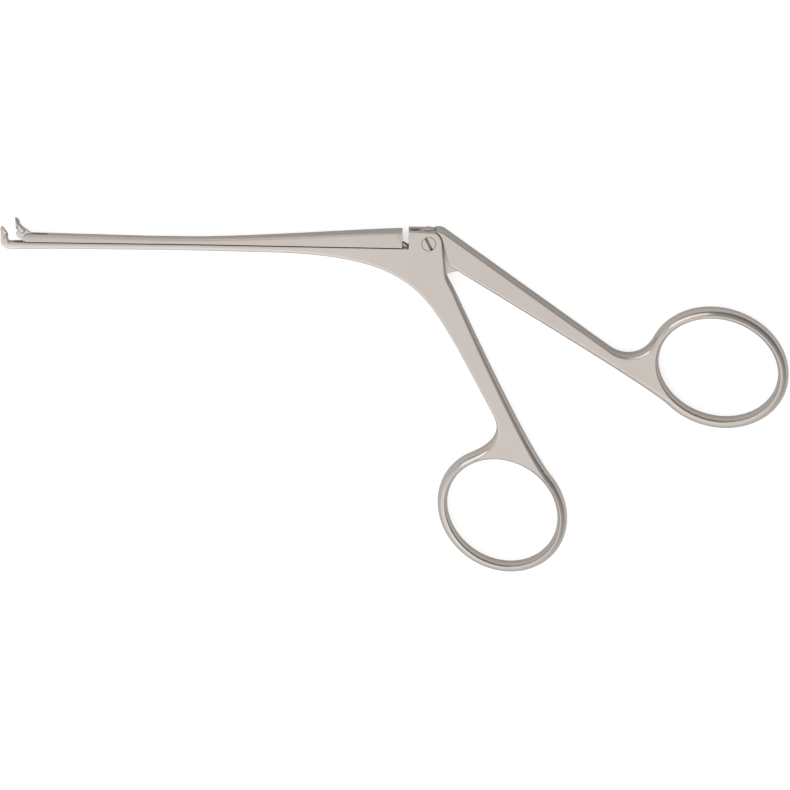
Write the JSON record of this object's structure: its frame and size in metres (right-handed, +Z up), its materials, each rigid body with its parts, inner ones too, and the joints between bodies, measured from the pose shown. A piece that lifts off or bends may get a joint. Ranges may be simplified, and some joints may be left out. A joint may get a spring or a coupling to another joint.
{
  "type": "cup forceps",
  "caption": "Fine ring-handled ear forceps lying on its side: slim shaft, upturned cup jaws held open, slide driven by the thumb ring handle.",
  "frame": {"origin": "middle of the outline on the table the instrument lies on", "axes": "+X along the shaft from the cups to the thumb ring, +Y from the finger ring up to the slide, +Z up through the thickness"},
  "size_m": [0.158, 0.072, 0.0046],
  "materials": {
    "satin_steel_fixed": "satin",
    "satin_steel_slide": "satin",
    "satin_steel_thumb": "satin",
    "polished_steel_jaw": "polished",
    "screw_steel": "satin",
    "pin_steel": "ground"
  },
  "bodies": {
    "frame": {"fixed_handle": "satin_steel_fixed", "pivot_screw": "screw_steel", "jaw_pivot_pin": "pin_steel"},
    "thumb": {"thumb_handle": "satin_steel_thumb"},
    "slide": {"slide_shaft": "satin_steel_slide", "jaw_drive_pin": "pin_steel"},
    "jaw": {"cup_jaw": "polished_steel_jaw"}
  },
  "joints": [
    {"name": "handle_pivot", "type": "hinge", "parent": "frame", "child": "thumb", "pos_m": [0.00668, 0.03208, 0.0023], "axis": [0, 0, -1], "range_deg": [0, 10]},
    {"name": "slide_travel", "type": "slide", "parent": "frame", "child": "slide", "axis": [-1, 0, 0], "range_m": [0, 0.00080386]},
    {"name": "jaw_pivot", "type": "hinge", "parent": "frame", "child": "jaw", "pos_m": [-0.07392, 0.03038, 0.0023], "axis": [0, 0, 1], "range_deg": [0, 30]}
  ],
  "couplings": [
    {"joint": "slide_travel", "follows": "handle_pivot", "m_per_rad": 0.0046057},
    {"joint": "jaw_pivot", "follows": "handle_pivot", "ratio": 3}
  ]
}
